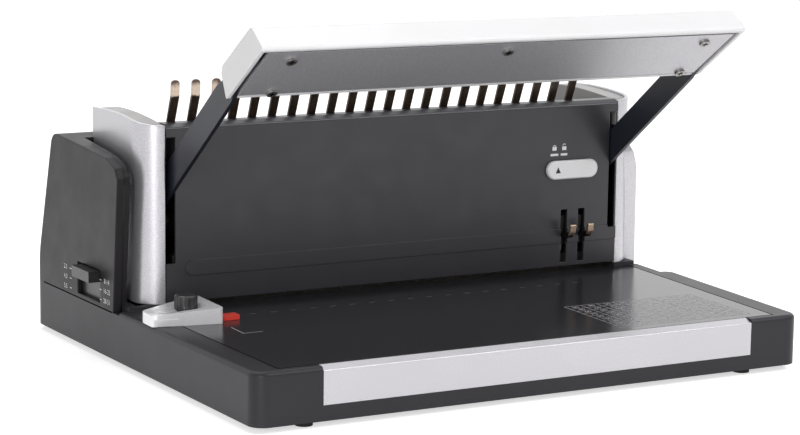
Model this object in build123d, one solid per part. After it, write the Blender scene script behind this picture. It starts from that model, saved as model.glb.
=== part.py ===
from build123d import *
import os
from math import acos, atan, cos, degrees, pi, radians, sin, tan

# Comb binding machine, millimetres. +X is to the right, +Y to the back, +Z up.
# The origin lies on the desk, under the middle of the base.

# Base outline: wider at the back
BASE_FRONT_Y = -165.0
BASE_REAR_Y = 165.0
FRONT_HALF = 193.9
SIDE_TAPER = 0.046
FRONT_CORNER = 10.0
REAR_CORNER = 12.0
FOOT_HEIGHT = 4.0
BASE_WALL = 3.0
PARTING_Z = 34.6
TABLE_Z = 36.8
TABLE_THICK = 2.0
BORDER_REAR_Y = 24.0

# Columns, front panel and paper throat
PANEL_Y = 20.5
PANEL_HALF = 171.0
PANEL_THICK = 2.5
PANEL_TOP_Z = 156.5
THROAT_TOP_Z = 41.0
LIP_REAR_Y = 32.6
SHELL_HALF = 197.0
SHELL_THICK = 2.5
SHELL_REAR_Y = 80.0
SHELL_FOOT_Z = 39.5
CAP_REAR_Y = 105.0
ARM_SLOT_IN = 164.6
ARM_SLOT_Z = (66.0, 148.0)

# Comb pitch and the rows that follow it
PITCH = 14.2875
PUNCHES = 21
ROW_MID_X = -12.4
PIN_Y = 34.0
PIN_LONG = 8.0
PIN_THICK = 3.0
PIN_TIP_Z = 42.5
RUNNING_FIT = 0.05

# Side frames and plates between them
FRAME_IN = 177.0
FRAME_THICK = 3.0
FLOOR_Z = 7.0
DIE_BOTTOM_Z = 31.8
GUIDE_TOP_Z = 49.0
PLATE_Y = (26.0, 46.0)
TROUGH_Z = (136.0, 138.0)
FRAME_TOP_Z = 152.6

# Handle: pivot, and the arm's direction at rest
PIVOT_Y = 72.0
PIVOT_Z = 85.6
ARM_RISE = 36.5
ARM_X = (165.3, 168.1)
SHAFT_R = 6.0
BAR_HALF = 171.3
BAR_WALL = 2.2
BAR_SCREW_R = 3.4
BAR_SCREWS = [(-147, 222.5), (1, 222.5), (148, 222.5), (-144, 182.0), (152.7, 182.0)]

# Punch cams: involutes that push the bar down in step with the handle
CAM_RATE = 12.96
CAM_START = 16.0
CAM_GAP = 0.3
CAM_WIDE = 8.0
CAM_HUB_R = 12.0

# Comb opener gearing
MODULE = 1.5
SECTOR_TEETH = 36
IDLER_TEETH = 12
ADDENDUM = 1.0
DEDENDUM = 1.5
BACKLASH = 0.3
PRESSURE = radians(20)
GEAR_X = (146.0, 152.0)

# Waste drawer
DRAWER_X = (-150.0, 155.2)
DRAWER_BOTTOM_Z = 13.6
TRAY_X = (-148.0, 153.2)
TRAY_Z = (14.2, 24.0)
TRAY_REAR_Y = 58.0

# Controls
LOCK_X = (112.9, 153.8)
LOCK_Z = 109.4
LOCK_HIGH = 13.0
GAUGE_X = (128.5, 142.8)
GAUGE_SLOT_WIDE = 5.4
GAUGE_SLOT_Z = (43.7, 81.0)
DEPTH_Y = 67.0
GUIDE_KNOB = (-174.0, -18.0)


def half_at(y):
    """Half width of the base at a depth y."""
    return FRONT_HALF + SIDE_TAPER * (y - BASE_FRONT_Y)


def outline(points, radii=None):
    """A flat face from its corners, each corner with its own radius."""
    if radii is None:
        return make_face(Polyline(*points, close=True))
    return make_face(FilletPolyline(*points, radius=radii, close=True))


def along_x(face, x_low, x_high):
    """Extrude a face drawn in (y, z) from x_low to x_high."""
    return extrude(Plane.YZ.offset(x_low) * face, amount=x_high - x_low)


def along_y(face, y_low, y_high):
    """Extrude a face drawn in (x, z) from y_low to y_high."""
    return extrude(Plane.XZ.offset(-y_high) * face, amount=y_high - y_low)


def upright(face, z_low, z_high):
    """Extrude a face drawn in (x, y) from z_low to z_high."""
    return extrude(Plane.XY.offset(z_low) * face, amount=z_high - z_low)


def block(x_low, x_high, y_low, y_high, z_low, z_high):
    """A box between two corners."""
    middle = ((x_low + x_high) / 2, (y_low + y_high) / 2, (z_low + z_high) / 2)
    return Pos(*middle) * Box(x_high - x_low, y_high - y_low, z_high - z_low)


def rod_x(radius, x_low, x_high, y, z):
    """A round bar along X."""
    return along_x(Pos(y, z) * Circle(radius), x_low, x_high)


def pair(shape):
    """A shape on the right and its mirror image on the left."""
    return shape + mirror(shape, about=Plane.YZ)


def row_x(index):
    """Middle of punch or hook number index, 0 on the left."""
    return ROW_MID_X + (index - (PUNCHES - 1) / 2) * PITCH


def group(shapes):
    """Separate solids that share one node."""
    solids = []
    for shape in shapes:
        solids.extend(shape.solids())
    return Compound(children=solids)


# Base

def base_outline(inset=0.0):
    front_y = BASE_FRONT_Y + inset
    rear_y = BASE_REAR_Y - inset
    front = half_at(front_y) - inset
    rear = half_at(rear_y) - inset
    corners = [(-front, front_y), (front, front_y), (rear, rear_y), (-rear, rear_y)]
    front_radius = FRONT_CORNER - inset
    rear_radius = REAR_CORNER - inset
    return outline(corners, [front_radius, front_radius, rear_radius, rear_radius])


def table_outline(gap=0.0):
    front_y = -158.2 - gap
    rear_y = BORDER_REAR_Y + 1.9
    front = 176.2 + gap
    rear = 184.0 + gap
    return outline([(-front, front_y), (front, front_y), (rear, rear_y), (-rear, rear_y)])


def base_shell():
    edge_radius = 3.0
    ledge_z = 31.0
    body = upright(base_outline(), FOOT_HEIGHT, TABLE_Z)
    body = fillet(body.edges().group_by(Axis.Z)[-1], edge_radius)
    body -= block(-250, 250, BORDER_REAR_Y, 200, PARTING_Z, 60)
    inside = base_outline(BASE_WALL)
    body -= upright(inside, FLOOR_Z, ledge_z)
    front_well = outline([(-172, -153.5), (172, -153.5), (179, BORDER_REAR_Y + 1), (-179, BORDER_REAR_Y + 1)])
    body -= upright(front_well, FLOOR_Z, 60)
    body -= upright(inside, FLOOR_Z, 60) & block(-250, 250, BORDER_REAR_Y, 200, 0, 70)
    body -= upright(table_outline(0.7), PARTING_Z + 0.2, 60)
    left, right = DRAWER_X
    body -= block(left - 0.3, right + 0.3, BASE_FRONT_Y - 1, -158.2, DRAWER_BOTTOM_Z - 0.3, 60)
    runner = block(136, 139, -160, 60, FLOOR_Z, TRAY_Z[0] - RUNNING_FIT)
    plinth_front = block(172.5, 196.5, 22, 25.8, ledge_z, SHELL_FOOT_Z)
    plinth_side = block(190, 196.5, 22, SHELL_REAR_Y, ledge_z, SHELL_FOOT_Z)
    shelf = block(185, 201, 22, 48, ledge_z, PARTING_Z)
    body += pair(runner) + pair(plinth_front + plinth_side + shelf)
    return body


def rubber_feet():
    radius = 5.4
    places = [(-157, -153), (157, -153), (-163, 148), (163, 148)]
    foot = Pos(0, 0, FOOT_HEIGHT / 2) * Cylinder(radius, FOOT_HEIGHT)
    return group([Pos(x, y, 0) * foot for x, y in places])


def table_plate():
    rib_z = 31.0
    bottom = TABLE_Z - TABLE_THICK
    plate = upright(table_outline(), bottom, TABLE_Z)
    for rib_y in (-120, -80, -40, 0):
        plate += block(-170, 170, rib_y - 1, rib_y + 1, rib_z, bottom)
    return plate - pair(block(172.2, 200, 21.7, 40, 30, 50))


# Steelwork

def side_frame():
    """Right frame: an upright plate with a foot turned out on the floor of the base."""
    corners = [(28, FLOOR_Z), (125, FLOOR_Z), (125, 60), (98, 108), (98, FRAME_TOP_Z), (36, FRAME_TOP_Z), (28, 140)]
    face = outline(corners, [0, 4, 10, 10, 4, 4, 4])
    frame = along_x(face, FRAME_IN, FRAME_IN + FRAME_THICK)
    frame += block(FRAME_IN, 190, 28, 125, FLOOR_Z, FLOOR_Z + FRAME_THICK)
    frame -= rod_x(SHAFT_R + RUNNING_FIT, 170, 185, PIVOT_Y, PIVOT_Z)
    frame -= rod_x(3.0, 170, 185, PIVOT_Y, idler_z())
    frame -= block(170, 185, 35.5, 44.5, TABLE_Z + 0.2, THROAT_TOP_Z - 0.2)
    frame -= block(170, 185, 34, 90, TROUGH_Z[0] - 2.2, TROUGH_Z[0] - 0.02)
    return frame


def punch_slots(z_low, z_high):
    long = PIN_LONG / 2 + RUNNING_FIT
    thick = PIN_THICK / 2 + RUNNING_FIT
    return [
        block(row_x(i) - long, row_x(i) + long, PIN_Y - thick, PIN_Y + thick, z_low, z_high)
        for i in range(PUNCHES)
    ]


def die_plate():
    plate = block(-FRAME_IN, FRAME_IN, *PLATE_Y, DIE_BOTTOM_Z, TABLE_Z)
    return plate - punch_slots(DIE_BOTTOM_Z - 1, TABLE_Z + 1)


def guide_plate():
    plate = block(-FRAME_IN, FRAME_IN, *PLATE_Y, THROAT_TOP_Z, GUIDE_TOP_Z)
    return plate - punch_slots(THROAT_TOP_Z - 1, GUIDE_TOP_Z + 1)


def chip_chute():
    """Leads the chips of the leftmost pins over the side of the tray."""
    top = DIE_BOTTOM_Z
    corners = [(-164, top), (-160, top), (-143, 26.2), (-143, 24.7), (-160.5, top - 1.4), (-164, top - 1.4)]
    return along_y(outline(corners), 27, 41)


# Panels and covers

def front_panel():
    top = PANEL_TOP_Z
    back = PANEL_Y + PANEL_THICK
    corners = [
        (PANEL_Y, THROAT_TOP_Z), (PANEL_Y, top - 2.5), (PANEL_Y + 4, top), (LIP_REAR_Y, top),
        (LIP_REAR_Y, top - PANEL_THICK), (back + 2, top - PANEL_THICK), (back, top - 5), (back, THROAT_TOP_Z),
    ]
    panel = along_x(outline(corners, [0, 2, 3, 0.5, 0, 1, 1, 0]), -PANEL_HALF, PANEL_HALF)
    band = outline([(-158, 57.5), (PANEL_HALF, 57.5), (PANEL_HALF, 67.5), (-158, 67.5)], [5, 0, 0, 5])
    panel += along_y(band, PANEL_Y - 1, PANEL_Y + 1)
    panel -= pair(block(ARM_SLOT_IN, PANEL_HALF + 1, PANEL_Y - 2, back + 1, *ARM_SLOT_Z))
    for x in GAUGE_X:
        half = GAUGE_SLOT_WIDE / 2
        panel -= block(x - half, x + half, PANEL_Y - 2, back + 1, *GAUGE_SLOT_Z)
    panel -= block(127.4, 146.3, PANEL_Y - 2, back + 1, 105.4, 111.6)
    return panel


def column_shell():
    """Right shell: wraps the column's front and side, with its top cut in a rising line."""
    inner = SHELL_HALF - SHELL_THICK
    corners = [
        (PANEL_HALF, PANEL_Y), (SHELL_HALF, PANEL_Y), (SHELL_HALF, SHELL_REAR_Y),
        (inner, SHELL_REAR_Y), (inner, PANEL_Y + SHELL_THICK), (PANEL_HALF, PANEL_Y + SHELL_THICK),
    ]
    shell = upright(outline(corners, [0.8, 17, 0, 0, 14.5, 0.8]), SHELL_FOOT_Z, 162)
    top = make_face(
        Polyline((PANEL_Y - 5, 156.0), (PANEL_Y, 156.3))
        + Spline((PANEL_Y, 156.3), (31, 160.2), (43, 161.6), (60, 162))
        + Polyline((60, 162), (SHELL_REAR_Y + 5, 162), (SHELL_REAR_Y + 5, 30), (PANEL_Y - 5, 30), (PANEL_Y - 5, 156.0))
    )
    return shell & along_x(top, 160, 210)


def cheek_cap():
    """Right cap: a box open below, its roof a shallow arch."""
    gap = 0.3
    outer = SHELL_HALF - SHELL_THICK - gap
    front = PANEL_Y + SHELL_THICK + gap
    plan = outline([(PANEL_HALF, front), (outer, front), (outer, CAP_REAR_Y), (PANEL_HALF, CAP_REAR_Y)], [1, 14, 6, 1])
    roof = make_face(
        Spline((15, 154.6), (51, 157.7), (85, 158.8), (110, 157.6))
        + Polyline((110, 157.6), (110, TROUGH_Z[1]), (15, TROUGH_Z[1]), (15, 154.6))
    )
    cap = upright(plan, TROUGH_Z[1], 170) & along_x(roof, 160, 210)
    cap -= block(PANEL_HALF + 2.2, outer - 2.2, front + 2.2, CAP_REAR_Y - 2.2, 130, FRAME_TOP_Z)
    return cap


def housing_profile(bottom_z):
    """Side view of the dark housing, in (y, z)."""
    corners = [(33, bottom_z), (25, 122), (29, 129), (43, 134), (83, 137), (130, 140), (160, bottom_z)]
    return outline(corners, [0, 4, 4, 6, 0, 10, 0])


def housing():
    """The dark cover that runs round both sides and the back, still in one piece."""
    outer = along_x(housing_profile(PARTING_Z), -220, 220) & upright(base_outline(), PARTING_Z, 150)
    cavity = along_x(offset(housing_profile(20.0), -BASE_WALL), -220, 220)
    cavity &= upright(base_outline(BASE_WALL), 0, 150)
    shell = outer - cavity
    beside = SHELL_HALF + 0.4
    shell -= block(-beside, beside, 0, SHELL_REAR_Y + 3.4, 20, 200)
    shell -= block(-194.8, 194.8, 40, CAP_REAR_Y + 0.3, 100, 200)
    return shell


def on_left_wall(out_low, out_high, y_low, y_high, z_low, z_high):
    """A box set square to the left wall: out is measured outwards from its outer face."""
    straight = block(-out_high, -out_low, y_low - DEPTH_Y, y_high - DEPTH_Y, z_low, z_high)
    return Pos(-half_at(DEPTH_Y), DEPTH_Y, 0) * Rot(0, 0, degrees(atan(SIDE_TAPER))) * straight


def side_cover_left(whole):
    cover = whole & block(-250, -150.15, 0, 200, 0, 200)
    cover -= on_left_wall(-5, 5, 53, 89.6, 37.5, 59)
    cover += on_left_wall(-6.6, -2.9, 47.6, 49.6, 36, 75)
    cover += on_left_wall(-6.6, -2.9, 92.4, 94.4, 36, 75)
    return cover


def side_cover_right(whole):
    return whole & block(150.15, 250, 0, 200, 0, 200)


def rear_cover(whole):
    return whole & block(-150, 150, 0, 200, 0, 200)


def trough_plate():
    plate = block(-FRAME_IN, FRAME_IN, LIP_REAR_Y + 1.8, CAP_REAR_Y, *TROUGH_Z)
    return plate - [block(row_x(i) - 2.2, row_x(i) + 2.2, 39, 64, 130, 140) for i in range(PUNCHES)]


def finger_plate():
    return block(-PANEL_HALF, PANEL_HALF, LIP_REAR_Y, LIP_REAR_Y + 1.8, 131, PANEL_TOP_Z - 0.2)


def comb_fingers():
    """Flat fingers that lean forward and then stand upright, with rounded tips."""
    foot_z = PANEL_TOP_Z - 0.2
    half = 2.75
    side = outline(
        [(32.6, foot_z), (34.4, foot_z), (27.2, 174.2), (26.3, 184), (24.5, 184), (25.2, 173.4)],
        [0, 0, 6, 0, 0, 6],
    )
    front = outline([(-half, 150), (half, 150), (half, 184), (-half, 184)], [0, 0, 2.5, 2.5])
    finger = along_x(side, -half, half) & along_y(front, 20, 40)
    return group([Pos(row_x(i - 0.5), 0, 0) * finger for i in range(PUNCHES + 1)])


# Handle

def in_arm_plane(face, x_low, x_high):
    """Extrude a face drawn in (s, t): s along the arm from the pivot, t square to it and upwards."""
    rise = radians(ARM_RISE)
    plane = Plane(origin=(x_high, PIVOT_Y, PIVOT_Z), x_dir=(0, -cos(rise), sin(rise)), z_dir=(-1, 0, 0))
    return extrude(plane * face, amount=x_high - x_low)


def bar_outline():
    """Section of the grip bar, in (s, t)."""
    return outline([(231.5, 8.6), (182.3, 11.2), (178.3, 7.9), (175.2, -8.1), (238.1, -10.8)], [4, 3, 3, 1.5, 2])


def handle_shell():
    shell = in_arm_plane(bar_outline(), -BAR_HALF, BAR_HALF)
    hollow = outline(
        [(229.8, 6.5), (183.2, 9.0), (180.3, 6.8), (177.6, -20), (236.2, -20)],
        [2, 1, 1, 0, 0],
    )
    shell -= in_arm_plane(hollow, -BAR_HALF + BAR_WALL, BAR_HALF - BAR_WALL)
    notch = outline([(165, 7.4), (186, 7.4), (186, -14), (165, -14)])
    shell -= pair(in_arm_plane(notch, ARM_X[0] - 0.2, BAR_HALF - BAR_WALL))
    for x, s in BAR_SCREWS:
        shell += square_to_arm(4.0, x, s, under_plate_t(s - 4) + 2.1, 8)
    return shell


def handle_under_plate():
    face = outline([(179.9, -6.3), (179.8, -8.3), (232.4, -10.6), (232.2, -8.6)])
    return in_arm_plane(face, -ARM_X[0], ARM_X[0])


def square_to_arm(radius, x, s, t_low, t_high):
    """A round bar square to the arm's length, in the plane that the arm swings in."""
    rise = radians(ARM_RISE)
    y = PIVOT_Y - s * cos(rise) + t_low * sin(rise)
    z = PIVOT_Z + s * sin(rise) + t_low * cos(rise)
    seat = Plane(origin=(x, y, z), x_dir=(1, 0, 0), z_dir=(0, sin(rise), cos(rise)))
    return extrude(seat * Circle(radius), amount=t_high - t_low)


def under_plate_t(s):
    """Height of the under-plate's lower face at s along the arm."""
    return -8.3 - 0.0437 * (s - 179.8)


def handle_arm():
    corners = [(-12, 9.4), (-12, -9.4), (174, -9.4), (184, -7.0), (222, -7.8), (222, 5.2), (184, 5.2), (162, 9.4)]
    face = outline(corners, [9, 9, 20, 8, 3, 3, 20, 20]) - Circle(SHAFT_R)
    return in_arm_plane(face, *ARM_X)


def handle_screws():
    """Pan heads of the screws that hold the under-plate."""
    heads = []
    for x, s in BAR_SCREWS:
        seat = under_plate_t(s + BAR_SCREW_R)
        heads.append(square_to_arm(BAR_SCREW_R, x, s, seat - 1.4, seat))
    return group(heads)


def main_shaft():
    return rod_x(SHAFT_R, -181, 181, PIVOT_Y, PIVOT_Z)


def cam_point(turn):
    """A point of the cam flank, from the shaft, that meets the bar when the handle has turned so far."""
    reach = CAM_START + CAM_RATE * turn
    return (-CAM_RATE * cos(turn) - reach * sin(turn), CAM_RATE * sin(turn) - reach * cos(turn))


def punch_cams():
    flank = [cam_point(-0.3 + 0.19 * i) for i in range(7)]
    edge = Spline(*flank) + Polyline(flank[-1], (-24, 1), (-5, 10.5), (0, 0), (-3, -11), flank[0])
    face = make_face(edge) + Circle(CAM_HUB_R) - Circle(SHAFT_R)
    face = Pos(PIVOT_Y, PIVOT_Z) * face
    return group([along_x(face, x - CAM_WIDE / 2, x + CAM_WIDE / 2) for x in (-120, 0, 120)])


# Comb opener

def pitch_radius(teeth):
    return MODULE * teeth / 2


def idler_z():
    return PIVOT_Z + pitch_radius(SECTOR_TEETH) + pitch_radius(IDLER_TEETH)


def tooth(teeth, middle):
    """One involute tooth, its middle at an angle in degrees."""
    pitch = pitch_radius(teeth)
    base = pitch * cos(PRESSURE)
    half = pi / (2 * teeth) - BACKLASH / (4 * pitch) + tan(PRESSURE) - PRESSURE
    low = max(base, pitch - DEDENDUM)
    steps = [low + (pitch + ADDENDUM - low) * i / 3 for i in range(4)]
    flank = []
    for radius in steps:
        roll = acos(min(1.0, base / radius))
        flank.append((radius, half - tan(roll) + roll))
    flank.insert(0, (pitch - DEDENDUM - 0.6, flank[0][1]))
    turned = radians(middle)
    right = [(r * cos(turned - a), r * sin(turned - a)) for r, a in flank]
    left = [(r * cos(turned + a), r * sin(turned + a)) for r, a in reversed(flank)]
    return outline(right + left)


def sector_gears():
    """Toothed sectors on the shaft, with teeth only where they mesh over the handle's swing."""
    step = 360 / SECTOR_TEETH
    root = pitch_radius(SECTOR_TEETH) - DEDENDUM
    wedge = outline([(0, 0), (60 * cos(radians(33)), 60 * sin(radians(33))), (60, 60), (-16, 60)])
    face = (Circle(root) & wedge) + Circle(11)
    for i in range(-1, 6):
        face += tooth(SECTOR_TEETH, 90 - step * i)
    face = Pos(PIVOT_Y, PIVOT_Z) * (face - Circle(SHAFT_R))
    return group([along_x(face, *GEAR_X), along_x(face, -GEAR_X[1], -GEAR_X[0])])


def idler_gears():
    step = 360 / IDLER_TEETH
    face = Circle(pitch_radius(IDLER_TEETH) - DEDENDUM)
    for i in range(IDLER_TEETH):
        face += tooth(IDLER_TEETH, -90 + step / 2 + step * i)
    face = Pos(PIVOT_Y, idler_z()) * (face - Circle(3.0 + RUNNING_FIT))
    return group([along_x(face, *GEAR_X), along_x(face, -GEAR_X[1], -GEAR_X[0])])


def idler_pins():
    pin = rod_x(3.0, GEAR_X[0] - 2, FRAME_IN + FRAME_THICK, PIVOT_Y, idler_z())
    pin += rod_x(4.5, GEAR_X[1] + 0.2, FRAME_IN, PIVOT_Y, idler_z())
    return group([pin, mirror(pin, about=Plane.YZ)])


def rack_bar():
    """Rack under the hook plate: its pitch line lies on top of the idler."""
    line_z = idler_z() + pitch_radius(IDLER_TEETH)
    spacing = pi * MODULE
    half = spacing / 4 - BACKLASH / 4
    slope = tan(PRESSURE)
    top = TROUGH_Z[0] - 2.1
    face = outline([(42, line_z + DEDENDUM), (80, line_z + DEDENDUM), (80, top), (42, top)])
    for i in range(-6, 2):
        y = PIVOT_Y + spacing * i
        root = half + DEDENDUM * slope
        tip = half - ADDENDUM * slope
        low = line_z - ADDENDUM
        high = line_z + DEDENDUM
        face += outline([(y - root, high), (y + root, high), (y + tip, low), (y - tip, low)])
    return along_x(face, *GEAR_X)


def opener_racks():
    return group([rack_bar(), mirror(rack_bar(), about=Plane.YZ)])


def hook_plate():
    reach = FRAME_IN + FRAME_THICK - 0.5
    return block(-reach, reach, 36, 66, TROUGH_Z[0] - 2.1, TROUGH_Z[0] - 0.1)


def comb_hooks():
    foot = TROUGH_Z[0] - 0.1
    corners = [(40, foot), (43, foot), (43, 150), (41.5, 152), (36.4, 152), (36.4, 149.8), (40, 148.6)]
    hook = along_x(outline(corners), -1.6, 1.6)
    return group([Pos(row_x(i), 0, 0) * hook for i in range(PUNCHES)])


# Punch

def bar_top_z():
    return PIVOT_Z - CAM_START - CAM_GAP


def punch_bar():
    top = bar_top_z()
    corners = [(29, top - 6.8), (39, top - 6.8), (39, top - 3.5), (68, top - 3.5), (68, top), (29, top)]
    return along_x(outline(corners, [0, 0, 1.5, 0, 0, 0]), -163, 163)


def punch_pins():
    long = PIN_LONG / 2
    thick = PIN_THICK / 2
    high = bar_top_z() - 6.8
    return group([
        block(row_x(i) - long, row_x(i) + long, PIN_Y - thick, PIN_Y + thick, PIN_TIP_Z, high)
        for i in range(PUNCHES)
    ])


# Waste drawer

def drawer_front():
    corners = [
        (BASE_FRONT_Y, DRAWER_BOTTOM_Z), (BASE_FRONT_Y, 34.5), (-158.6, 36.7),
        (-158.6, 35.2), (-162.6, 33.6), (-162.6, DRAWER_BOTTOM_Z),
    ]
    return along_x(outline(corners, [0, 0.8, 0, 0, 0, 0]), *DRAWER_X)


def chip_tray():
    wall = 1.8
    left, right = TRAY_X
    tray = block(left, right, -162.6, TRAY_REAR_Y, *TRAY_Z)
    return tray - block(left + wall, right - wall, -162.6 + wall, TRAY_REAR_Y - wall, TRAY_Z[0] + wall, 30)


# Controls

def lock_slider():
    """Stadium knob in front of the panel and the latch behind it."""
    radius = LOCK_HIGH / 2
    low = LOCK_Z - radius
    high = LOCK_Z + radius
    left, right = LOCK_X
    face = outline([(left, low), (right, low), (right, high), (left, high)], [radius - 0.05] * 4)
    knob = along_y(face, 17.3, PANEL_Y - 0.1)
    knob = chamfer(knob.edges().group_by(Axis.Y)[0], 0.8)
    stem = block(128, 138, PANEL_Y - 0.1, PANEL_Y + PANEL_THICK + 0.3, 105.6, 111.4)
    back = PANEL_Y + PANEL_THICK
    latch = block(120, 159.1, back + 0.1, back + 2.1, 102.5, 108) + block(120, 150, back + 0.1, back + 2.1, 102.5, 114)
    return knob + stem + latch


def comb_gauge():
    back = PANEL_Y + PANEL_THICK
    plate = block(121, 150, back + 0.2, back + 1.8, 56, 76)
    corners = [
        (back + 1, 62), (12.5, 62), (8, 66.5), (7.4, 72), (9.4, 72.4), (10.4, 67.4), (13.5, 64.6), (back + 1, 64.6),
    ]
    face = outline(corners, [0, 4, 3, 0.8, 0.8, 2, 2, 0])
    for x in GAUGE_X:
        plate += along_x(face, x - 2.2, x + 2.2)
    return plate


def depth_slider():
    knob = on_left_wall(-3.5, 7.8, 53.6, 82, 51.2, 58.4)
    knob = chamfer(knob.edges().group_by(Axis.X)[0], 1.0)
    return knob + on_left_wall(-5.4, -3.3, 50, 92, 37, 70)


def back_stop():
    return block(-180, 180, 41, 43.5, TABLE_Z + 0.3, THROAT_TOP_Z - 0.3)


def edge_guide_housing():
    left, right = -200.3, -155.0
    plan = outline([(left, -27), (right, -35), (right, 10), (left, -9)], [4, 3, 3, 4])
    top = outline([(left - 1, TABLE_Z), (right + 1, TABLE_Z), (right + 1, 47), (left - 1, 44)])
    body = upright(plan, TABLE_Z, 60) & along_y(top, -60, 30)
    body -= block(-197.2, -157, -29, -10, 30, 41.2)
    body -= block(-160, -150, -28.3, -19.7, 30, 40.3)
    knob_x, knob_y = GUIDE_KNOB
    recess = outline([(-198, knob_y - 7.9), (-161.3, knob_y - 7.9), (-161.3, knob_y + 7.9), (-198, knob_y + 7.9)], [7.8] * 4)
    body -= upright(recess, 42.8, 60)
    slit = outline([(-192.8, knob_y - 2.8), (-166.4, knob_y - 2.8), (-166.4, knob_y + 2.8), (-192.8, knob_y + 2.8)], [2.7] * 4)
    body -= upright(slit, 40, 60)
    return body


def edge_stop():
    knob_x, knob_y = GUIDE_KNOB
    carriage = block(-179, -169, -28, -12, TABLE_Z + 0.1, 40.9)
    tongue = block(-179, -141.5, -28, -20, TABLE_Z + 0.1, 40)
    stud = Pos(knob_x, knob_y, 44) * Cylinder(2.4, 7)
    return carriage + tongue + stud


def edge_knob():
    knob_x, knob_y = GUIDE_KNOB
    profile = outline([(0, 43.2), (5.5, 43.2), (7.4, 45), (7.4, 53), (6.2, 54), (0, 54)], [0, 0, 0.8, 0.8, 0, 0])
    knob = revolve(Plane.XZ * profile, Axis.Z)
    for i in range(16):
        turned = Rot(0, 0, 360 / 16 * i)
        knob -= turned * Pos(7.6, 0, 49.5) * Box(1.2, 1.4, 12)
    knob -= Pos(0, 0, 45.3) * Cylinder(2.4 + RUNNING_FIT, 4.4)
    return Pos(knob_x, knob_y, 0) * knob


def write_all():
    os.makedirs("parts", exist_ok=True)
    whole = housing()
    nodes = {
        "base_shell": base_shell(),
        "rubber_feet": rubber_feet(),
        "table_plate": table_plate(),
        "side_frame_right": side_frame(),
        "side_frame_left": mirror(side_frame(), about=Plane.YZ),
        "die_plate": die_plate(),
        "guide_plate": guide_plate(),
        "chip_chute": chip_chute(),
        "front_panel": front_panel(),
        "column_shell_right": column_shell(),
        "column_shell_left": mirror(column_shell(), about=Plane.YZ),
        "cheek_cap_right": cheek_cap(),
        "cheek_cap_left": mirror(cheek_cap(), about=Plane.YZ),
        "side_cover_left": side_cover_left(whole),
        "side_cover_right": side_cover_right(whole),
        "rear_cover": rear_cover(whole),
        "trough_plate": trough_plate(),
        "finger_plate": finger_plate(),
        "comb_fingers": comb_fingers(),
        "handle_shell": handle_shell(),
        "handle_under_plate": handle_under_plate(),
        "handle_arm_right": handle_arm(),
        "handle_arm_left": mirror(handle_arm(), about=Plane.YZ),
        "handle_screws": handle_screws(),
        "main_shaft": main_shaft(),
        "punch_cams": punch_cams(),
        "sector_gears": sector_gears(),
        "idler_gears": idler_gears(),
        "idler_pins": idler_pins(),
        "opener_racks": opener_racks(),
        "hook_plate": hook_plate(),
        "comb_hooks": comb_hooks(),
        "punch_bar": punch_bar(),
        "punch_pins": punch_pins(),
        "drawer_front": drawer_front(),
        "chip_tray": chip_tray(),
        "lock_slider": lock_slider(),
        "comb_gauge": comb_gauge(),
        "depth_slider": depth_slider(),
        "back_stop": back_stop(),
        "edge_guide_housing": edge_guide_housing(),
        "edge_stop": edge_stop(),
        "edge_knob": edge_knob(),
    }
    for name, shape in nodes.items():
        export_step(shape, f"parts/{name}.step")


write_all()
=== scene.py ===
import math

import bmesh
import bpy
from mathutils import Matrix, Vector


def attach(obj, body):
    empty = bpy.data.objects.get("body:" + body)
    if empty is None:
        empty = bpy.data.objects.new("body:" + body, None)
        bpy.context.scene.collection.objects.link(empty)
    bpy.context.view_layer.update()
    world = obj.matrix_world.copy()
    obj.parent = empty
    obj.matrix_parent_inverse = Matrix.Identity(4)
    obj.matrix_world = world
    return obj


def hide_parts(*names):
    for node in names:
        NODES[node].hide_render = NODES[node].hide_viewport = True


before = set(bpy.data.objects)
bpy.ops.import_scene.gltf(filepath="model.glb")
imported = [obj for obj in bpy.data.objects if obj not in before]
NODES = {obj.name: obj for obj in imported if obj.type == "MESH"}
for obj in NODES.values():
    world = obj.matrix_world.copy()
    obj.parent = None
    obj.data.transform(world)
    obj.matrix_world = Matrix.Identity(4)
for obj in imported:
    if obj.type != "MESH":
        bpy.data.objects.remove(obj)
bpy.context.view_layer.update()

# A desktop comb binding machine: +X to the user's right, +Y to the back, +Z up.
# Sizes are in millimetres and become metres where Blender takes them.

MM = 0.001

# Camera, in metres: at the front left, a little above the machine, with a long lens
CAMERA_PLACE = Vector((-0.757218, -1.385866, 0.362719))
CAMERA_RIGHT = Vector((0.88182824, -0.47140408, 0.01253613))
CAMERA_UP = Vector((0.07003245, 0.15720204, 0.98508019))
CAMERA_LENS = 108.388

# Comb pitch from the comb standard, and the faces that carry prints
PITCH = 14.2875
ROW_MIDDLE = -12.4
TABLE_TOP = 36.8
FRONT = 20.5
KNOB_FRONT = 17.3
PRINT_HEIGHT = 0.06

# Typical refraction of each material, and the part of a noise's range that most of it lies in
ABS_IOR = 1.53
RUBBER_IOR = 1.52
COATING_IOR = 1.5
NOISE_LOW = 0.3
NOISE_HIGH = 0.7


def linear(code):
    """An sRGB hex colour as the linear RGBA that shaders use."""
    parts = [int(code[i:i + 2], 16) / 255 for i in (1, 3, 5)]
    return tuple(c / 12.92 if c <= 0.04045 else ((c + 0.055) / 1.055) ** 2.4 for c in parts) + (1.0,)


def add(tree, kind, inputs=(), **fields):
    """Adds a node: fields are its own settings, inputs maps its sockets to values or to other sockets."""
    node = tree.nodes.new(kind)
    for field, value in fields.items():
        setattr(node, field, value)
    for socket, value in dict(inputs).items():
        if isinstance(value, bpy.types.NodeSocket):
            tree.links.new(value, node.inputs[socket])
        else:
            node.inputs[socket].default_value = value
    return node


def blank_material(name):
    material = bpy.data.materials.new(name)
    material.use_nodes = True
    material.node_tree.nodes.clear()
    return material, material.node_tree


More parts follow.
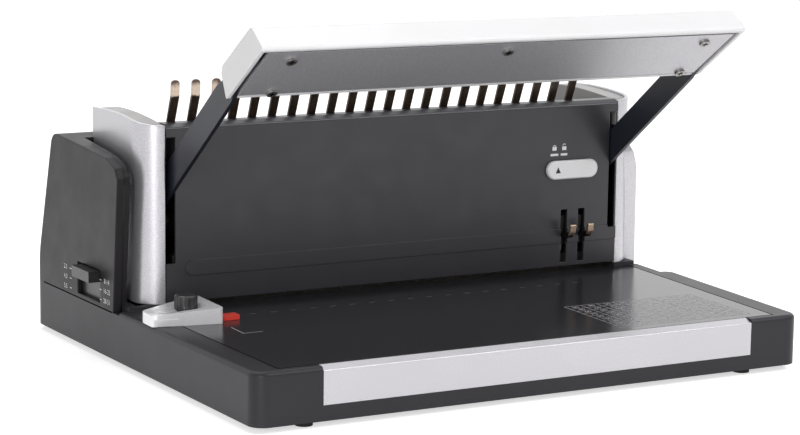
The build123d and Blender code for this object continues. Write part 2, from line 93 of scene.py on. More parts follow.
def finished(material, tree, inputs):
    """Closes a material with one principled surface."""
    surface = add(tree, "ShaderNodeBsdfPrincipled", inputs)
    add(tree, "ShaderNodeOutputMaterial", {"Surface": surface.outputs[0]})
    return material


def sized(point, size_mm, detail):
    """Inputs of a noise whose features are about size_mm across."""
    return {"Vector": point, "Scale": 1.0 / (size_mm * MM), "Detail": detail}


def mapped(pattern, low, high):
    """Inputs that map the middle of a noise to a range."""
    return {"Value": pattern, "From Min": NOISE_LOW, "From Max": NOISE_HIGH, "To Min": low, "To Max": high}


def patchy(tree, point, size_mm, detail, first, second, reach=1.0):
    """A colour that drifts from one shade towards another over patches of about size_mm."""
    cloud = add(tree, "ShaderNodeTexNoise", sized(point, size_mm, detail)).outputs["Fac"]
    share = add(tree, "ShaderNodeMapRange", mapped(cloud, 0.0, reach)).outputs["Result"]
    inputs = {"Factor": share, 6: linear(first), 7: linear(second)}
    return add(tree, "ShaderNodeMix", inputs, data_type="RGBA").outputs[2]


def relief(tree, height, depth_mm, strength, edge_mm):
    """Fine relief over edges eased to a radius, as moulded and pressed parts have."""
    eased = add(tree, "ShaderNodeBevel", {"Radius": edge_mm * MM}, samples=4).outputs["Normal"]
    inputs = {"Height": height, "Distance": depth_mm * MM, "Strength": strength, "Normal": eased}
    return add(tree, "ShaderNodeBump", inputs).outputs["Normal"]


def rubbed(tree, point, axis, streaks, wander_mm, start_mm, end_mm):
    """Share of a new shade, which rises from start_mm to end_mm along an axis with a ragged edge."""
    along = add(tree, "ShaderNodeSeparateXYZ", {"Vector": point}).outputs[axis]
    wander = add(tree, "ShaderNodeMath", {0: streaks, 1: wander_mm * MM}, operation="MULTIPLY").outputs[0]
    edge = add(tree, "ShaderNodeMath", {0: along, 1: wander}, operation="ADD").outputs[0]
    inputs = {"Value": edge, "From Min": start_mm * MM, "From Max": end_mm * MM}
    return add(tree, "ShaderNodeMapRange", inputs).outputs["Result"]


# Materials. Object coordinates are metres in the machine's frame, so a pattern keeps its real size

def moulded_abs(name, shade, paler, roughness, grain_mm=0.7, grain_depth_mm=0.02, edge_mm=0.5, vary=0.045,
                specular=0.5):
    """ABS moulded in a spark-eroded tool: a fine even grain that breaks up its soft sheen."""
    # The tool's grain is near 0.2 mm, too fine to show, so it is drawn coarser
    material, tree = blank_material(name)
    point = add(tree, "ShaderNodeTexCoord").outputs["Object"]
    grain = add(tree, "ShaderNodeTexNoise", sized(point, grain_mm, 1.0)).outputs["Fac"]
    handled = add(tree, "ShaderNodeTexNoise", sized(point, 18.0, 4.0)).outputs["Fac"]
    rough = add(tree, "ShaderNodeMapRange", mapped(handled, roughness - vary, roughness + vary))
    return finished(material, tree, {
        "Base Color": patchy(tree, point, 70.0, 3.0, shade, paler),
        "Roughness": rough.outputs["Result"],
        "IOR": ABS_IOR,
        "Specular IOR Level": specular,
        "Normal": relief(tree, grain, grain_depth_mm, 0.5, edge_mm),
    })


def silver_paint(name, shade, paler, roughness, metallic):
    """Silver paint on a moulded cover: aluminium flake under a satin lacquer, a soft bright sheen."""
    # Flakes are near 0.05 mm, too fine to show, so they are drawn coarser
    material, tree = blank_material(name)
    point = add(tree, "ShaderNodeTexCoord").outputs["Object"]
    flake = add(tree, "ShaderNodeTexNoise", sized(point, 0.5, 0.0)).outputs["Fac"]
    glint = add(tree, "ShaderNodeMapRange", mapped(flake, 0.0, 0.25)).outputs["Result"]
    inputs = {"Factor": glint, 6: patchy(tree, point, 60.0, 2.0, shade, paler, 0.6), 7: linear("#ffffff")}
    return finished(material, tree, {
        "Base Color": add(tree, "ShaderNodeMix", inputs, data_type="RGBA").outputs[2],
        "Metallic": metallic,
        "Roughness": roughness,
        "Normal": relief(tree, flake, 0.006, 0.35, 0.5),
        "Coat Weight": 0.25,
        "Coat Roughness": 0.18,
    })


def brushed_steel(name, shade, darker, roughness):
    """Plated steel sheet, rolled: fine lines along X that draw the light out across them."""
    # Roll marks are near 0.1 mm apart, too fine to show, so they are drawn coarser
    material, tree = blank_material(name)
    point = add(tree, "ShaderNodeTexCoord").outputs["Object"]
    inputs = {0: point, 1: (0.05, 3.0, 3.0)}
    rolled = add(tree, "ShaderNodeVectorMath", inputs, operation="MULTIPLY").outputs[0]
    lines = add(tree, "ShaderNodeTexNoise", sized(rolled, 1.2, 3.0)).outputs["Fac"]
    rough = add(tree, "ShaderNodeMapRange", mapped(lines, roughness - 0.06, roughness + 0.08))
    return finished(material, tree, {
        "Base Color": patchy(tree, point, 45.0, 3.0, shade, darker),
        "Metallic": 1.0,
        "Roughness": rough.outputs["Result"],
        "Normal": relief(tree, lines, 0.008, 0.25, 0.3),
    })


def powder_coat(name, shade, roughness):
    """Dark powder coat on steel: a faint orange-peel surface that softens its reflections."""
    material, tree = blank_material(name)
    point = add(tree, "ShaderNodeTexCoord").outputs["Object"]
    peel = add(tree, "ShaderNodeTexNoise", sized(point, 1.6, 1.0)).outputs["Fac"]
    return finished(material, tree, {
        "Base Color": patchy(tree, point, 40.0, 2.0, shade, "#232633", 0.5),
        "Roughness": roughness,
        "IOR": COATING_IOR,
        "Metallic": 0.2,
        "Normal": relief(tree, peel, 0.02, 0.35, 0.6),
    })


def nickel_fingers():
    """Nickel-plated steel fingers, coloured by height: painted shade on the shanks, painted light on the
    tips, and darker again at the very top.
    """
    material, tree = blank_material("nickel_fingers_painted_light_and_shade")
    point = add(tree, "ShaderNodeTexCoord").outputs["Object"]
    streaks = add(tree, "ShaderNodeTexNoise", sized(point, 5.0, 3.0)).outputs["Fac"]
    # Painted light and shade: dark shanks that stand for the dark surroundings they reflect, and pale tips
    # that stand for the light they catch
    ragged, bright_from, bright_to, darker_top_from, darker_top_to = 6.0, 176.5, 177.5, 182.5, 185.5
    tip = rubbed(tree, point, "Z", streaks, ragged, bright_from, bright_to)
    end = rubbed(tree, point, "Z", streaks, ragged, darker_top_from, darker_top_to)
    painted_shank_shade = patchy(tree, point, 5.0, 3.0, "#2a1e14", "#40342a")
    inputs = {"Factor": end, 6: linear("#b5a495"), 7: linear("#4f4037")}
    bright = add(tree, "ShaderNodeMix", inputs, data_type="RGBA").outputs[2]
    inputs = {"Factor": tip, 6: painted_shank_shade, 7: bright}
    rough = add(tree, "ShaderNodeMapRange", {"Value": tip, "To Min": 0.3, "To Max": 0.2})
    return finished(material, tree, {
        "Base Color": add(tree, "ShaderNodeMix", inputs, data_type="RGBA").outputs[2],
        "Metallic": 0.7,
        "Roughness": rough.outputs["Result"],
        "Normal": add(tree, "ShaderNodeBevel", {"Radius": 0.3 * MM}, samples=4).outputs["Normal"],
    })


def gauge_steel():
    """Dark steel hooks that turn bright towards their tips."""
    material, tree = blank_material("dark_gauge_steel_bright_tips")
    point = add(tree, "ShaderNodeTexCoord").outputs["Object"]
    streaks = add(tree, "ShaderNodeTexNoise", sized(point, 4.0, 2.0)).outputs["Fac"]
    ragged, bright_from, bright_to = 1.5, 11.8, 10.2
    tip = rubbed(tree, point, "Y", streaks, ragged, bright_from, bright_to)
    inputs = {"Factor": tip, 6: linear("#1a1817"), 7: linear("#a8937f")}
    rough = add(tree, "ShaderNodeMapRange", mapped(streaks, 0.25, 0.35))
    return finished(material, tree, {
        "Base Color": add(tree, "ShaderNodeMix", inputs, data_type="RGBA").outputs[2],
        "Metallic": 0.8,
        "Roughness": rough.outputs["Result"],
        "Normal": add(tree, "ShaderNodeBevel", {"Radius": 0.3 * MM}, samples=4).outputs["Normal"],
    })


def moulded_rubber():
    """Black rubber feet, moulded: dull, with a fine grain."""
    material, tree = blank_material("moulded_rubber")
    point = add(tree, "ShaderNodeTexCoord").outputs["Object"]
    grain = add(tree, "ShaderNodeTexNoise", sized(point, 0.4, 2.0)).outputs["Fac"]
    rough = add(tree, "ShaderNodeMapRange", mapped(grain, 0.75, 0.9))
    return finished(material, tree, {
        "Base Color": linear("#1c1c1c"),
        "Roughness": rough.outputs["Result"],
        "IOR": RUBBER_IOR,
        "Normal": relief(tree, grain, 0.03, 0.4, 0.4),
    })


def printed_ink(name, shade, darker, specular=0.5):
    """Pad-printed ink: thin, dull, and a little uneven. The same flat ink also serves as painted shade in
    gaps and recesses.
    """
    material, tree = blank_material(name)
    point = add(tree, "ShaderNodeTexCoord").outputs["Object"]
    speck = add(tree, "ShaderNodeTexNoise", sized(point, 0.8, 2.0)).outputs["Fac"]
    rough = add(tree, "ShaderNodeMapRange", mapped(speck, 0.45, 0.6))
    return finished(material, tree, {
        "Base Color": patchy(tree, point, 0.8, 2.0, shade, darker, 0.8),
        "Roughness": rough.outputs["Result"],
        "IOR": COATING_IOR,
        "Specular IOR Level": specular,
    })


# The housing is the dullest, the table is nearly polished and mirrors what stands over it, and the
# other parts lie between
cover_abs = moulded_abs("grained_abs_cover", "#1c1a1c", "#211f21", 0.44, edge_mm=1.5, specular=0.22)
base_abs = moulded_abs("grained_abs_base", "#29282c", "#2e2d31", 0.38, edge_mm=0.8, vary=0.02, specular=0.2)
table_abs = moulded_abs("satin_abs_table", "#232326", "#262629", 0.2, grain_mm=0.5, grain_depth_mm=0.0015,
                        vary=0.008)
panel_abs = moulded_abs("satin_abs_panel", "#242328", "#28272c", 0.36)
black_abs = moulded_abs("semi_gloss_black_abs", "#1d1d1f", "#252527", 0.3)
white_abs = moulded_abs("white_abs", "#dad9da", "#dedddf", 0.32, grain_depth_mm=0.002, edge_mm=0.8,
                        vary=0.01)
cap_abs = moulded_abs("pale_grey_abs", "#8b8988", "#918f8e", 0.35, grain_depth_mm=0.01)
red_abs = moulded_abs("red_abs", "#c2352a", "#c93c30", 0.3, grain_depth_mm=0.006)
# The gears are natural nylon, moulded in the same kind of tool, so they have the same soft sheen
nylon = moulded_abs("natural_nylon", "#d8d4c6", "#e2dfd2", 0.4, grain_depth_mm=0.01)
silver = silver_paint("satin_silver_paint", "#acaab0", "#b3b1b6", 0.33, 0.7)
pale_silver = silver_paint("pale_silver_paint", "#dfdee1", "#e5e4e7", 0.32, 0.4)
plate_steel = silver_paint("satin_silver_plate", "#9d9ba1", "#a4a2a8", 0.38, 0.5)
zinc_steel = brushed_steel("zinc_plated_steel", "#9c9a97", "#8f8d8a", 0.36)
hook_nickel = brushed_steel("nickel_plated_hooks", "#c9b9ab", "#b8a99c", 0.22)
arm_coat = powder_coat("dark_powder_coat", "#12141d", 0.42)
shelf_coat = powder_coat("black_powder_coat", "#1e1e21", 0.45)
finger_nickel = nickel_fingers()
gauge_black = gauge_steel()
feet_rubber = moulded_rubber()
white_ink = printed_ink("white_ink", "#dcdcdc", "#c7c7c7")
dark_ink = printed_ink("dark_ink", "#1f1f22", "#1b1b1e")
grey_ink = printed_ink("grey_ink", "#b5b4b6", "#a4a3a5")
faint_ink = printed_ink("faint_ink", "#6a6a6d", "#5f5f62")
# Painted shade: a near-black ink laid where the seams, the parting line and the screw recesses hold only
# shade
painted_gap_shade = printed_ink("painted_gap_shade", "#060606", "#050505", 0.0)

FINISH = {
    "base_shell": base_abs, "rubber_feet": feet_rubber, "table_plate": table_abs,
    "side_frame_right": zinc_steel, "side_frame_left": zinc_steel, "die_plate": zinc_steel,
    "guide_plate": zinc_steel, "chip_chute": base_abs, "front_panel": panel_abs,
    "column_shell_right": silver, "column_shell_left": silver, "cheek_cap_right": cap_abs,
    "cheek_cap_left": cap_abs, "side_cover_left": cover_abs, "side_cover_right": cover_abs,
    "rear_cover": cover_abs, "trough_plate": shelf_coat, "finger_plate": shelf_coat,
    "comb_fingers": finger_nickel, "idler_pins": zinc_steel, "edge_guide_housing": pale_silver,
    "handle_shell": white_abs, "handle_under_plate": plate_steel, "handle_arm_right": arm_coat,
    "handle_arm_left": arm_coat, "handle_screws": zinc_steel, "main_shaft": zinc_steel,
    "punch_cams": zinc_steel, "sector_gears": zinc_steel, "idler_gears": nylon,
    "opener_racks": zinc_steel, "hook_plate": zinc_steel, "comb_hooks": hook_nickel,
    "punch_bar": zinc_steel, "punch_pins": zinc_steel, "drawer_front": silver, "chip_tray": black_abs,
    "lock_slider": white_abs, "comb_gauge": gauge_black, "depth_slider": black_abs,
    "back_stop": zinc_steel, "edge_stop": red_abs, "edge_knob": black_abs,
}


def paint_cad():
    """Gives every CAD node its finish."""
    for name, thing in NODES.items():
        thing.data.materials.clear()
        thing.data.materials.append(FINISH[name])


def placed(name, mesh, material):
    """Puts a mesh into the scene as an object with one finish."""
    mesh.materials.append(material)
    piece = bpy.data.objects.new(name, mesh)
    bpy.context.scene.collection.objects.link(piece)
    return piece


# Pieces that stand for CAD nodes, or close the gaps beside them

# The front and top edge of the dark housing, in (y, z), and the silver cover's plan and top line
HOUSING_LINE = [(34.5, 34.9), (25.9, 108.0), (25.3, 118.0), (26.4, 124.0), (30.5, 128.6), (37.0, 131.6),
                (45.0, 133.6), (60.0, 135.2), (83.0, 137.0), (107.0, 138.5)]
SHELL_HALF = 187.5
SHELL_CORNER = 18.0
SHELL_THICK = 2.5
SHELL_FRONT_END = 171.3
SHELL_FOOT = 39.5
SHELL_WAIST = 100.0
SHELL_TOP = [(20.5, 155.5), (28.0, 156.8), (36.7, 158.0), (48.0, 159.0), (61.0, 159.7), (80.0, 159.8),
             (107.0, 158.6)]
FLANK_PLACES = (42.0, 50.0, 60.0, 70.0, 80.0, 93.0, 107.0)
CORNER_STEPS = 14

# The lips between cover and housing: the left one lies deep in the gap, the right one leans in
LIP_THICK = 1.2
LIP_BITE = 0.9
LIP_LEAST = 2.5
LEFT_LIP_OUT = 194.6
LEFT_LIP_LINE = [(50.0, 34.9), (43.0, 105.0), (46.0, 115.0), (56.0, 120.5), (83.0, 124.0), (107.0, 125.5)]
RIGHT_LIP_OUT = 196.4
RIGHT_LIP_PROUD = 1.8
LIP_LEAN = 0.084
LIP_LEAN_FROM = 35.0
LIP_ROUND_FROM = 108.0
LIP_ROUND = 0.022
LIP_ROUND_MOST = 6.0

# The front return of the left housing wall
RIM_INSET = 1.55
RIM_THICK = 3.0
RIM_FROM = 193.5
RIM_TO = 198.2

# The step in the right wall of the base and the housing, behind the raised border
STEP_Y = -8.0
STEP_IN = 7.4
STEP_LONG = 6.0
STEP_CUTS = 8
WALL_ZONE = 187.0
COVER_INNER = 150.15
COVER_EDGE = 197.4
COVER_BEHIND_LIP = 195.9
COVER_CUTS = (30.0, 34.0, 40.0, 46.0)
COVER_FREE_FROM = 33.0
COVER_FREE = 0.8
CAP_INNER = 171.0
CAP_SHARE = 0.59


def between(table, at):
    """Value at a place, read off a rising table of pairs."""
    for (low, first), (high, second) in zip(table, table[1:]):
        if at <= high:
            return first + (second - first) * max(0.0, at - low) / (high - low)
    return table[-1][1]


def wall_piece(name, rows, thick_mm, material, edge_mm):
    """A sheet from a grid of points, thickened and with eased edges."""
    mesh = bpy.data.meshes.new(name)
    sheet = bmesh.new()
    grid = [[sheet.verts.new([c * MM for c in point]) for point in row] for row in rows]
    for first, second in zip(grid, grid[1:]):
        for i in range(len(first) - 1):
            sheet.faces.new([first[i], first[i + 1], second[i + 1], second[i]])
    bmesh.ops.recalc_face_normals(sheet, faces=sheet.faces)
    sheet.to_mesh(mesh)
    sheet.free()
    for polygon in mesh.polygons:
        polygon.use_smooth = True
    piece = placed(name, mesh, material)
    thick = piece.modifiers.new("thickness", "SOLIDIFY")
    thick.thickness = thick_mm * MM
    thick.offset = 0.0
    thick.use_even_offset = True
    ease = piece.modifiers.new("eased_edges", "BEVEL")
    ease.width = edge_mm * MM
    ease.segments = 3
    ease.limit_method = "ANGLE"
    ease.angle_limit = math.radians(40)
    ease.harden_normals = True
    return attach(piece, "base")


def column_cover(side):
    """Silver cover of one column: front, rounded corner and flank under a rising top line."""
    sign = 1 if side == "right" else -1
    centre_x = SHELL_HALF - SHELL_CORNER
    centre_y = FRONT + SHELL_CORNER
    reach = SHELL_CORNER - SHELL_THICK / 2
    first = math.asin((SHELL_FRONT_END - centre_x) / reach)
    plan = []
    for i in range(CORNER_STEPS + 1):
        turn = first + (math.pi / 2 - first) * i / CORNER_STEPS
        plan.append((centre_x + reach * math.sin(turn), centre_y - reach * math.cos(turn)))
    plan += [(centre_x + reach, y) for y in FLANK_PLACES]
    rows = []
    for x, y in plan:
        rows.append([(sign * x, y, z) for z in (SHELL_FOOT, SHELL_WAIST, between(SHELL_TOP, y))])
    piece = wall_piece("silver_column_cover_" + side, rows, SHELL_THICK, silver, 0.7)
    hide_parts("column_shell_" + side)


def follow_line(inset):
    """The housing's line set inwards, in (y, z)."""
    moved = []
    for i, (y, z) in enumerate(HOUSING_LINE):
        before = HOUSING_LINE[max(i - 1, 0)]
        after = HOUSING_LINE[min(i + 1, len(HOUSING_LINE) - 1)]
        along = Vector((after[0] - before[0], after[1] - before[1])).normalized()
        moved.append((y + along.y * inset, z - along.x * inset))
    return moved


def shell_face_x(y):
    """Outer face of the column cover at a depth y."""
    drop = min(SHELL_CORNER, max(0.0, FRONT + SHELL_CORNER - y))
    return SHELL_HALF - SHELL_CORNER + math.sqrt(SHELL_CORNER ** 2 - drop ** 2)


def lip_drawn_in(z):
    """How far the right lip lies inside its foot at a height: it leans in, and its top corner is round."""
    rounded = LIP_ROUND * max(0.0, z - LIP_ROUND_FROM) ** 2
    return (z - LIP_LEAN_FROM) * LIP_LEAN + min(LIP_ROUND_MOST, rounded)


def column_lips():
    """Silver lips between the column covers and the dark housing."""
    left = []
    for y, z in LEFT_LIP_LINE:
        left.append((-shell_face_x(y) + LIP_BITE, -LEFT_LIP_OUT, y, z))
    right = []
    for y, z in follow_line(-RIGHT_LIP_PROUD):
        start = shell_face_x(y) - LIP_BITE
        right.append((start, max(start + LIP_LEAST, RIGHT_LIP_OUT - lip_drawn_in(z)), y, z))
    for side, line in (("left", left), ("right", right)):
        inner = [(start, y, z) for start, end, y, z in line]
        outer = [(end, y, z) for start, end, y, z in line]
        wall_piece("silver_column_lip_" + side, [inner, outer], LIP_THICK, silver, 0.4)


def housing_rim_left():
    """Front return of the dark housing beside the lip."""
    rows = [[(-x, y, z) for y, z in follow_line(RIM_INSET)] for x in (RIM_FROM, RIM_TO)]
    wall_piece("housing_rim_left", rows, RIM_THICK, cover_abs, 0.5)


def reshaped(name, node, cut_places, move):
    """A copy of a CAD solid, cut across Y and moved point by point, that stands for it."""
    source = NODES[node]
    shape = bmesh.new()
    shape.from_mesh(source.data)
    shape.transform(source.matrix_world)
    bmesh.ops.remove_doubles(shape, verts=shape.verts, dist=0.005 * MM)
    for y in cut_places:
        parts = list(shape.verts) + list(shape.edges) + list(shape.faces)
        bmesh.ops.bisect_plane(shape, geom=parts, plane_co=(0, y * MM, 0), plane_no=(0, 1, 0))
    for vertex in shape.verts:
        vertex.co = Vector(move(*(vertex.co / MM))) * MM
    mesh = bpy.data.meshes.new(name)
    shape.to_mesh(mesh)
    shape.free()
    piece = placed(name, mesh, FINISH[node])
    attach(piece, "base")
    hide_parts(node)


def cap_point(x, y, z):
    """The cap ends inside the flank of the column cover."""
    side = 1 if x > 0 else -1
    return (side * (CAP_INNER + (abs(x) - CAP_INNER) * CAP_SHARE), y, z)


def right_cover_point(x, y, z):
    """The right housing wall lies further in, level with the stepped base and behind the lip."""
    limit = COVER_BEHIND_LIP - lip_drawn_in(z) + max(0.0, y - COVER_FREE_FROM) * COVER_FREE
    if x < COVER_EDGE:
        share = (COVER_EDGE - STEP_IN - COVER_INNER) / (COVER_EDGE - COVER_INNER)
        x = COVER_INNER + (x - COVER_INNER) * share
    else:
        x -= STEP_IN
    return (min(x, limit), y, z)


def base_point(x, y, z):
    """Behind the raised border the base's right wall steps in, with a rounded corner."""
    if x < WALL_ZONE or y < STEP_Y - STEP_LONG:
        return (x, y, z)
    share = min(1.0, (y - STEP_Y + STEP_LONG) / STEP_LONG)
    return (x - STEP_IN * (1 - math.sqrt(max(0.0, 1 - share * share))), y, z)


def dress_columns():
    column_cover("right")
    column_cover("left")
    column_lips()
    housing_rim_left()
    reshaped("cheek_cap_right_narrow", "cheek_cap_right", [], cap_point)
    reshaped("cheek_cap_left_narrow", "cheek_cap_left", [], cap_point)
    reshaped("side_cover_right_stepped", "side_cover_right", COVER_CUTS, right_cover_point)
    places = [STEP_Y - STEP_LONG + i * STEP_LONG / STEP_CUTS for i in range(STEP_CUTS + 1)]
    reshaped("base_shell_stepped", "base_shell", places, base_point)


def guide_front_plate():
    """Closes the guide housing's front wall beside the carriage's channel."""
    left, right = -199.6, -184.0
    foot, top = TABLE_TOP + 0.2, 41.6
    face_x, face_y, face_slope = -200.3, -27.15, 0.1766
    thick, eased = 0.3, 0.1
    rows = []
    for x in (left, right):
        y = face_y - (x - face_x) * face_slope
        rows.append([(x, y, foot), (x, y, top)])
    wall_piece("guide_front_skirt", rows, thick, pale_silver, eased)


# Prints, and the painted shade of gaps and recesses: thin ink just above the surface that carries it. A
# plane is its origin, right and up, in metres

RIGHT = Vector((1, 0, 0))
BACK = Vector((0, 1, 0))
UP = Vector((0, 0, 1))
WALL_FOOT = -201.49
WALL_TAPER = 0.046
TABLE_PLANE = (UP * ((TABLE_TOP + PRINT_HEIGHT) * MM), RIGHT, BACK)
PANEL_PLANE = (BACK * ((FRONT - PRINT_HEIGHT) * MM), RIGHT, UP)
KNOB_PLANE = (BACK * ((KNOB_FRONT - PRINT_HEIGHT) * MM), RIGHT, UP)
WALL_PLANE = (RIGHT * ((WALL_FOOT - PRINT_HEIGHT) * MM), Vector((WALL_TAPER, -1, 0)).normalized(), UP)


def on_plane(plane, u, v):
    origin, right, up = plane
    return origin + right * (u * MM) + up * (v * MM)


def ink_shapes(name, plane, outlines, ink, body="base"):
    """Flat shapes of print and of painted shade, each given by its corners on the plane."""
    mesh = bpy.data.meshes.new(name)
    shapes = bmesh.new()
    for corners in outlines:
        shapes.faces.new([shapes.verts.new(on_plane(plane, u, v)) for u, v in corners])
    shapes.normal_update()
    shapes.to_mesh(mesh)
    shapes.free()
    piece = placed(name, mesh, ink)
    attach(piece, body)


def bar(u_low, u_high, v_low, v_high):
    """Corners of an upright rectangle."""
    return [(u_low, v_low), (u_high, v_low), (u_high, v_high), (u_low, v_high)]


def bar_round(u, v, half_u, half_v):
    """Corners of an upright rectangle round a middle."""
    return bar(u - half_u, u + half_u, v - half_v, v + half_v)


def arch(u, v, outer, inner, start, end, steps=14):
    """A band between two radii, from one angle to another, in degrees."""
    turns = [math.radians(start + (end - start) * i / steps) for i in range(steps + 1)]
    corners = [(u + outer * math.cos(a), v + outer * math.sin(a)) for a in turns]
    corners += [(u + inner * math.cos(a), v + inner * math.sin(a)) for a in reversed(turns)]
    return corners


def printed_numbers(name, plane, labels, height, ink):
    """Plain numbers, each with its middle at a place on the plane."""
    right, up = plane[1:]
    turn = Matrix((right, up, right.cross(up))).transposed().to_4x4()
    joined = bmesh.new()
    for label, u, v in labels:
        curve = bpy.data.curves.new(name + "_curve", "FONT")
        curve.body = label
        curve.size = height * MM
        curve.align_x = "CENTER"
        curve.align_y = "CENTER"
        holder = bpy.data.objects.new(name + "_holder", curve)
        mesh = bpy.data.meshes.new_from_object(holder)
        mesh.transform(Matrix.Translation(on_plane(plane, u, v)) @ turn)
        joined.from_mesh(mesh)
        bpy.data.objects.remove(holder)
        bpy.data.meshes.remove(mesh)
    mesh = bpy.data.meshes.new(name)
    joined.to_mesh(mesh)
    joined.free()
    piece = placed(name, mesh, ink)
    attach(piece, "base")


def parting_groove():
    """Painted shade: a near-black strip that stands for the shade in the gap between the left housing wall
    and the base.
    """
    ink_shapes("painted_parting_shade_left", WALL_PLANE, [bar(-147.5, -34.6, 34.2, 35.0)], painted_gap_shade)


def table_seams():
    """Painted shade: near-black strips that stand for the shade in the gap between the table and the raised
    border.
    """
    wide = 0.7
    front, back = -158.2, 25.0
    front_half, back_half = 176.2, 184.0
    seams = []
    for side in (-1, 1):
        seams.append([(side * front_half, front), (side * (front_half + wide), front - wide),
                      (side * (back_half + wide), back), (side * back_half, back)])
    seams.append(bar(-176.6, -150.6, front - wide, front))
    seams.append(bar(155.8, 176.6, front - wide, front))
    ink_shapes("painted_table_seam_shade_strips", TABLE_PLANE, seams, painted_gap_shade)


# The handle's arm at rest, from the main hinge, in metres, and the screws at (x, distance along the arm)
ARM_RISE = math.radians(36.5)
PIVOT = Vector((0, 72.0, 85.6)) * MM
ALONG_ARM = Vector((0, -math.cos(ARM_RISE), math.sin(ARM_RISE)))
ABOVE_ARM = Vector((0, math.sin(ARM_RISE), math.cos(ARM_RISE)))
SCREWS = [(-147, 222.5), (1, 222.5), (148, 222.5), (-144, 182.0), (152.7, 182.0)]
PLATE_START = 176.4
PLATE_UNDER = -8.3
PLATE_SLOPE = 0.0437
HEAD_HIGH = 1.4


def screw_crosses():
    """Painted shade: near-black crosses that stand for the shade in the cross recesses in the heads of the
    under-plate's screws.
    """
    long, short = 2.2, 0.45
    for i, (x, along) in enumerate(SCREWS):
        head = PLATE_UNDER - PLATE_SLOPE * (along - PLATE_START) - HEAD_HIGH
        plane = (PIVOT + ABOVE_ARM * ((head - PRINT_HEIGHT) * MM), RIGHT, ALONG_ARM)
        cross = [bar_round(x, along, long, short), bar_round(x, along, short, long)]
        ink_shapes(f"screw_recess_shade_{i + 1}", plane, cross, painted_gap_shade, "handle")


def lock_signs():
    """Two index lines over the lock knob, with a closed and an open padlock, and the knob's arrow."""
    line_z, line_half = 120.0, 0.8
    body_low, body_high, body_half = line_z + 3.0, line_z + 5.6, 1.7
    shackle_outer, shackle_inner = 1.3, 0.8
    shapes = []
    for left, right in ((116.4, 122.7), (124.6, 130.0)):
        shapes.append(bar(left, right, line_z - line_half, line_z + line_half))
    for middle, lift, start in ((119.5, 0.0, 0), (127.4, 0.7, 20)):
        shapes.append(bar(middle - body_half, middle + body_half, body_low, body_high))
        shapes.append(arch(middle, body_high + lift, shackle_outer, shackle_inner, start, 180))
    ink_shapes("lock_index_signs", PANEL_PLANE, shapes, white_ink)
    arrow = [(118.9, 107.4), (123.1, 107.4), (121.0, 111.8)]
    ink_shapes("lock_knob_arrow", KNOB_PLANE, [arrow], dark_ink, "lock")


def table_prints():
    """Dashes at the comb pitch and a corner mark for the paper."""
    count, half_long = 19, 2.2
    front, back = -16.3, -15.6
    dashes = []
    for i in range(count):
        middle = ROW_MIDDLE + (i - count // 2) * PITCH
        dashes.append(bar(middle - half_long, middle + half_long, front, back))
    ink_shapes("table_hole_dashes", TABLE_PLANE, dashes, faint_ink)
    left, right, wide = -156.0, -142.5, 0.5
    front, back = -65.3, -46.6
    corner = [bar(left, right, front, front + wide), bar(left, left + wide, front + wide, back)]
    ink_shapes("table_corner_mark", TABLE_PLANE, corner, grey_ink)


def table_chart():
    """A ruled chart with plain numbers."""
    left, right, low, high = 66.0, 165.0, -150.0, -82.0
    down, across = 9, 8
    tall = (high - low) / down
    wide = (right - left) / across
    line = 0.2
    rules = [bar(left, right, low + i * tall - line, low + i * tall + line) for i in range(down + 1)]
    rules += [bar(left + i * wide - line, left + i * wide + line, low, high) for i in range(across + 1)]
    ink_shapes("table_chart_lines", TABLE_PLANE, rules, grey_ink)
    labels = []
    for i in range(down):
        for j in range(across):
            number = (i + 2) * (j + 3) * 5
            labels.append((str(number), left + (j + 0.5) * wide, high - (i + 0.5) * tall))
    printed_numbers("table_chart_numbers", TABLE_PLANE, labels, 5.0, grey_ink)


def depth_scale():
    """Plain numbers and ticks on both sides of the margin slider."""
    margins = [("2.5", 52.0), ("4.0", 45.4), ("5.5", 38.8)]
    combs = [("8-14", 53.0), ("16-25", 46.6), ("28-51", 40.0)]
    tick_half = 0.3
    labels = []
    ticks = []
    for column, middle, start, end in ((margins, -109.5, -102.5, -99.5), (combs, -42.5, -53.5, -50.8)):
        for label, z in column:
            labels.append((label, middle, z))
            ticks.append(bar(start, end, z - tick_half, z + tick_half))
    printed_numbers("depth_scale_numbers", WALL_PLANE, labels, 4.6, white_ink)
    ink_shapes("depth_scale_ticks", WALL_PLANE, ticks, white_ink)


# Stage, world, lamps and camera, in metres

FLOOR_REACH = 14.0
FLOOR_GLOW = 0.6
SKY_ON_SURFACES = 0.38
SKY_IN_FRONT = 0.3
SKY_BEHIND = 1.3


def seen_by(tree, rays, *kinds):
    """1 for the named kinds of ray, 0 for the rest."""
    seen = rays.outputs[kinds[0]]
    for kind in kinds[1:]:
        inputs = {0: seen, 1: rays.outputs[kind]}
        seen = add(tree, "ShaderNodeMath", inputs, operation="MAXIMUM").outputs[0]
    return seen


def paper_floor():
    """Matt white paper that the camera, and what reflects it, sees brighter than its light makes it."""
    material, tree = blank_material("white_paper_floor")
    seen = seen_by(tree, add(tree, "ShaderNodeLightPath"), "Is Camera Ray", "Is Glossy Ray")
    strength = add(tree, "ShaderNodeMath", {0: seen, 1: FLOOR_GLOW}, operation="MULTIPLY").outputs[0]
    glow = add(tree, "ShaderNodeEmission", {"Color": linear("#ffffff"), "Strength": strength})
    matt = add(tree, "ShaderNodeBsdfDiffuse", {"Color": linear("#f2f2f2")})
    both = add(tree, "ShaderNodeAddShader", {0: matt.outputs[0], 1: glow.outputs[0]})
    add(tree, "ShaderNodeOutputMaterial", {"Surface": both.outputs[0]})
    return material


def make_stage():
    corners = [(x * FLOOR_REACH, y * FLOOR_REACH, 0) for x, y in ((-1, -1), (1, -1), (1, 1), (-1, 1))]
    mesh = bpy.data.meshes.new("floor")
    mesh.from_pydata(corners, [], [(0, 1, 2, 3)])
    floor = placed("floor", mesh, paper_floor())


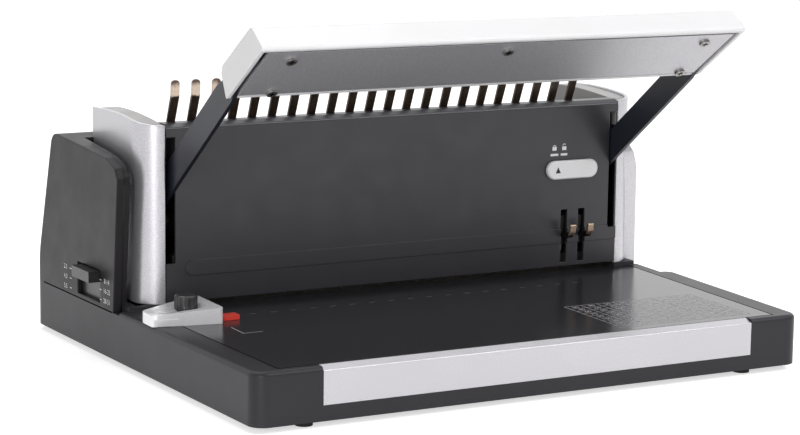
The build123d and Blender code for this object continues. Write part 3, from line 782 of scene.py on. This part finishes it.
def make_world():
    """White for the camera; reflections find it dim in front of the machine and bright behind it."""
    world = bpy.data.worlds.new("studio")
    bpy.context.scene.world = world
    world.use_nodes = True
    tree = world.node_tree
    tree.nodes.clear()
    rays = add(tree, "ShaderNodeLightPath")
    way = add(tree, "ShaderNodeTexCoord").outputs["Generated"]
    depth = add(tree, "ShaderNodeSeparateXYZ", {"Vector": way}).outputs["Y"]
    ahead = {"From Min": -0.5, "To Min": SKY_IN_FRONT}
    behind = {"From Max": 0.2, "To Max": SKY_BEHIND}
    sheen = add(tree, "ShaderNodeMapRange", {"Value": depth, **ahead, **behind}).outputs["Result"]
    inputs = {0: sheen, 1: rays.outputs["Is Camera Ray"]}
    sheen = add(tree, "ShaderNodeMath", inputs, operation="MAXIMUM").outputs[0]
    seen = seen_by(tree, rays, "Is Camera Ray", "Is Glossy Ray", "Is Transmission Ray")
    inputs = {"Value": seen, "To Min": SKY_ON_SURFACES, "To Max": sheen}
    strength = add(tree, "ShaderNodeMapRange", inputs).outputs["Result"]
    sky = add(tree, "ShaderNodeBackground", {"Color": linear("#ffffff"), "Strength": strength})
    add(tree, "ShaderNodeOutputWorld", {"Surface": sky.outputs[0]})


def soft_light(name, place, aim, size, watts):
    """A rectangular lamp at a place, turned to a point."""
    lamp = bpy.data.lights.new(name, "AREA")
    lamp.shape = "RECTANGLE"
    lamp.size, lamp.size_y = size
    lamp.energy = watts
    stand = bpy.data.objects.new(name, lamp)
    stand.location = place
    stand.rotation_euler = (Vector(aim) - Vector(place)).to_track_quat("-Z", "Y").to_euler()
    bpy.context.scene.collection.objects.link(stand)


def make_camera():
    lens = bpy.data.cameras.new("camera")
    lens.sensor_width = 36.0
    lens.lens = CAMERA_LENS
    lens.clip_end = 100.0
    camera = bpy.data.objects.new("camera", lens)
    back = CAMERA_RIGHT.cross(CAMERA_UP).normalized()
    turn = Matrix((CAMERA_RIGHT, CAMERA_UP, back)).transposed().to_4x4()
    camera.matrix_world = Matrix.Translation(CAMERA_PLACE) @ turn
    bpy.context.scene.collection.objects.link(camera)
    bpy.context.scene.camera = camera


make_camera()
make_world()
make_stage()
soft_light("key", (1.1, -1.6, 1.7), (0.0, 0.0, 0.1), (1.6, 1.2), 30.0)
soft_light("fill", (-1.65, -1.9, 0.5), (-0.1, 0.0, 0.1), (0.4, 1.3), 27.0)
soft_light("top", (0.0, 0.5, 2.0), (0.0, 0.0, 0.0), (1.8, 1.2), 15.0)
paint_cad()
dress_columns()
guide_front_plate()
parting_groove()
table_seams()
screw_crosses()
lock_signs()
table_prints()
table_chart()
depth_scale()

bpy.context.scene.view_settings.view_transform = "Standard"
